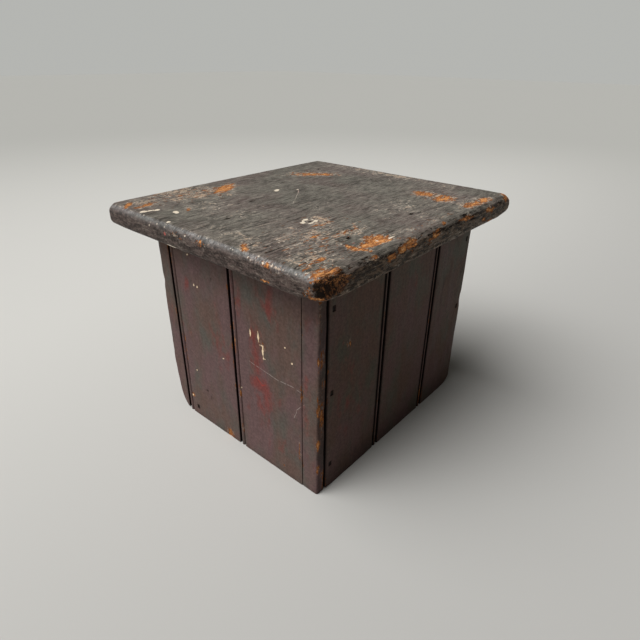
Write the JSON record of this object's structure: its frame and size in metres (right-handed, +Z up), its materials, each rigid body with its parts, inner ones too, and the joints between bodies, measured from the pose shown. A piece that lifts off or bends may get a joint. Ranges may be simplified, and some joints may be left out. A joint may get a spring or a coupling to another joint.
{
  "type": "box stool",
  "caption": "Low box stool with one thick rounded seat board on a box of upright beaded match boards, nailed to inner posts and cleats and open underneath.",
  "frame": {"origin": "on the floor, under the middle of the seat board", "axes": "+Z up; +Y from the front wall to the back, along the seat board's grain; +X to the right as seen from the front"},
  "size_m": [0.262, 0.294, 0.225],
  "materials": {
    "seat_paint": "old near-black paint, worn to grey and to orange wood along the edges",
    "wall_paint": "old dark red-brown paint, satin, with black joints",
    "inner_wood": "bare sawn softwood, aged and dusty",
    "nail_iron": "rusted cut nails"
  },
  "bodies": {
    "root": {"seat_board": "seat_paint", "front_board_1": "wall_paint", "front_board_2": "wall_paint", "front_board_3": "wall_paint", "front_board_4": "wall_paint", "right_board_1": "wall_paint", "right_board_2": "wall_paint", "right_board_3": "wall_paint", "left_board_1": "wall_paint", "left_board_2": "wall_paint", "left_board_3": "wall_paint", "back_board_1": "wall_paint", "back_board_2": "wall_paint", "back_board_3": "wall_paint", "post_front_left": "inner_wood", "post_front_right": "inner_wood", "post_rear_left": "inner_wood", "post_rear_right": "inner_wood", "top_cleat_front": "inner_wood", "top_cleat_back": "inner_wood", "top_cleat_left": "inner_wood", "top_cleat_right": "inner_wood", "bottom_cleat_front": "inner_wood", "bottom_cleat_back": "inner_wood", "bottom_cleat_left": "inner_wood", "bottom_cleat_right": "inner_wood", "seat_nails": "nail_iron", "front_wall_nails": "nail_iron", "right_wall_nails": "nail_iron", "left_wall_nails": "nail_iron", "back_wall_nails": "nail_iron"}
  },
  "joints": []
}
